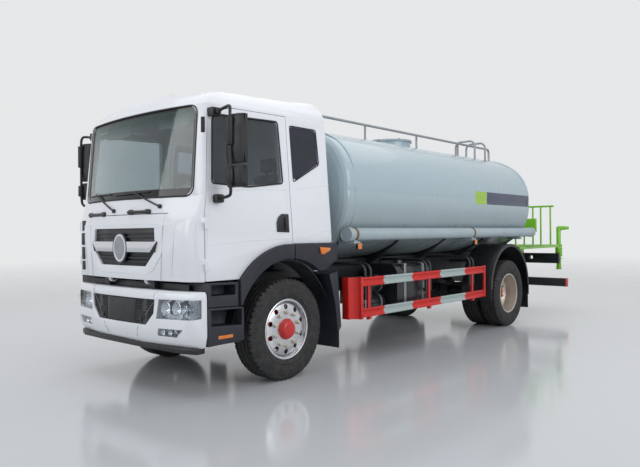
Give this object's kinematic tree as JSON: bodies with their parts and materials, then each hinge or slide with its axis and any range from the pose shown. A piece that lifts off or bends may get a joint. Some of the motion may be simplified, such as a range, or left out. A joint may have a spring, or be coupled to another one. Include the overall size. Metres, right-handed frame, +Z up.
{
  "type": "cab-over water tanker truck",
  "caption": "Two-axle cab-over tanker truck with an oval tank, tilting cab, steered front wheels, twin rear wheels, side guards and a rear spray platform.",
  "frame": {"origin": "on the ground, in the middle of the overall length and width", "axes": "+Z up, -Y forwards, +X to the vehicle's left"},
  "size_m": [2.8, 8.6, 2.9159],
  "materials": {
    "cab_paint": "gloss white paint",
    "dark_trim": "dark grey moulded plastic",
    "glass": "clear tinted glass",
    "interior": "grey cab interior",
    "seat_cloth": "dark woven cloth",
    "grille_black": "black grille",
    "lamp_lens": "lamp lens and reflector",
    "chassis_black": "black chassis paint",
    "engine_iron": "painted iron",
    "axle_steel": "black paint",
    "tyre": "black rubber",
    "alloy_rim": "polished aluminium",
    "steel_rim": "silver paint",
    "tank_paint": "light grey-blue gloss paint",
    "rail_steel": "grey paint",
    "guard_red": "red and white paint",
    "platform_green": "bright green paint",
    "tank_black": "black paint"
  },
  "bodies": {
    "chassis": {"frame": "chassis_black", "engine": "engine_iron", "propshaft": "axle_steel", "springs": "axle_steel", "front_axle": "axle_steel", "rear_axle": "axle_steel", "bumper": "cab_paint", "bumper_mesh": "grille_black", "lamps": "lamp_lens", "step_fairings": "dark_trim", "steps": "dark_trim", "front_mudguards": "dark_trim", "fuel_tank": "tank_black", "air_tanks": "tank_black", "battery_box": "tank_black", "muffler": "tank_black", "side_guards": "guard_red", "guard_hoops": "chassis_black", "rear_fenders": "dark_trim", "tank": "tank_paint", "storage_tubes": "tank_paint", "top_rails": "rail_steel", "ladder_hoops": "rail_steel", "platform": "platform_green", "rear_beam": "chassis_black", "spray_pipes": "platform_green", "underrun_bar": "chassis_black"},
    "cab": {"cab_front": "cab_paint", "cab_roof": "cab_paint", "cab_rear": "cab_paint", "cab_pillars": "cab_paint", "cab_sides": "cab_paint", "cab_floor": "interior", "cab_flares": "dark_trim", "windscreen": "glass", "quarter_glass": "glass", "grille": "grille_black", "dashboard": "interior", "seats": "seat_cloth"},
    "steering_wheel": {"steering_wheel": "dark_trim"},
    "door_left": {"door_left": "cab_paint", "door_glass_left": "glass", "door_flare_left": "dark_trim", "mirror_left": "dark_trim"},
    "door_right": {"door_right": "cab_paint", "door_glass_right": "glass", "door_flare_right": "dark_trim", "mirror_right": "dark_trim"},
    "knuckle_left": {"knuckle_left": "axle_steel"},
    "knuckle_right": {"knuckle_right": "axle_steel"},
    "tie_rod": {"tie_rod": "axle_steel"},
    "wheel_front_left": {"tyre_front_left": "tyre", "rim_front_left": "alloy_rim"},
    "wheel_front_right": {"tyre_front_right": "tyre", "rim_front_right": "alloy_rim"},
    "wheels_rear_left": {"tyres_rear_left": "tyre", "rims_rear_left": "steel_rim"},
    "wheels_rear_right": {"tyres_rear_right": "tyre", "rims_rear_right": "steel_rim"},
    "manhole_lid": {"manhole_lid": "tank_paint"}
  },
  "joints": [
    {"name": "cab_tilt", "type": "hinge", "parent": "chassis", "child": "cab", "pos_m": [0, -4.18, 1.02], "axis": [1, 0, 0], "range_deg": [0, 45]},
    {"name": "door_left_swing", "type": "hinge", "parent": "cab", "child": "door_left", "pos_m": [1.092, -4.114, 1.5], "axis": [0, 0, -1], "range_deg": [0, 70]},
    {"name": "door_right_swing", "type": "hinge", "parent": "cab", "child": "door_right", "pos_m": [-1.092, -4.114, 1.5], "axis": [0, 0, 1], "range_deg": [0, 70]},
    {"name": "steering_wheel_turn", "type": "hinge", "parent": "cab", "child": "steering_wheel", "pos_m": [0.57, -3.65, 1.85], "axis": [0, 0.5736, 0.8192], "range_deg": [-560, 560]},
    {"name": "steer_left", "type": "hinge", "parent": "chassis", "child": "knuckle_left", "pos_m": [0.79, -3.09, 0.5], "axis": [0, 0, 1], "range_deg": [-35, 35]},
    {"name": "steer_right", "type": "hinge", "parent": "chassis", "child": "knuckle_right", "pos_m": [-0.79, -3.09, 0.5], "axis": [0, 0, 1], "range_deg": [-35, 35]},
    {"name": "tie_rod_pivot", "type": "hinge", "parent": "knuckle_left", "child": "tie_rod", "pos_m": [0.79, -2.925, 0.352], "axis": [0, 0, 1], "range_deg": [-35, 35]},
    {"name": "wheel_front_left_spin", "type": "hinge", "parent": "knuckle_left", "child": "wheel_front_left", "pos_m": [0.935, -3.09, 0.5], "axis": [1, 0, 0], "continuous": true},
    {"name": "wheel_front_right_spin", "type": "hinge", "parent": "knuckle_right", "child": "wheel_front_right", "pos_m": [-0.935, -3.09, 0.5], "axis": [1, 0, 0], "continuous": true},
    {"name": "wheels_rear_left_spin", "type": "hinge", "parent": "chassis", "child": "wheels_rear_left", "pos_m": [0.921, 1.61, 0.5], "axis": [1, 0, 0], "continuous": true},
    {"name": "wheels_rear_right_spin", "type": "hinge", "parent": "chassis", "child": "wheels_rear_right", "pos_m": [-0.921, 1.61, 0.5], "axis": [1, 0, 0], "continuous": true},
    {"name": "manhole_lid_swing", "type": "hinge", "parent": "chassis", "child": "manhole_lid", "pos_m": [0, 0.54, 2.786], "axis": [-1, 0, 0], "range_deg": [0, 110]}
  ],
  "couplings": [
    {"joint": "steer_right", "follows": "steer_left", "ratio": 1},
    {"joint": "tie_rod_pivot", "follows": "steer_left", "ratio": -1},
    {"joint": "steering_wheel_turn", "follows": "steer_left", "ratio": 16}
  ]
}
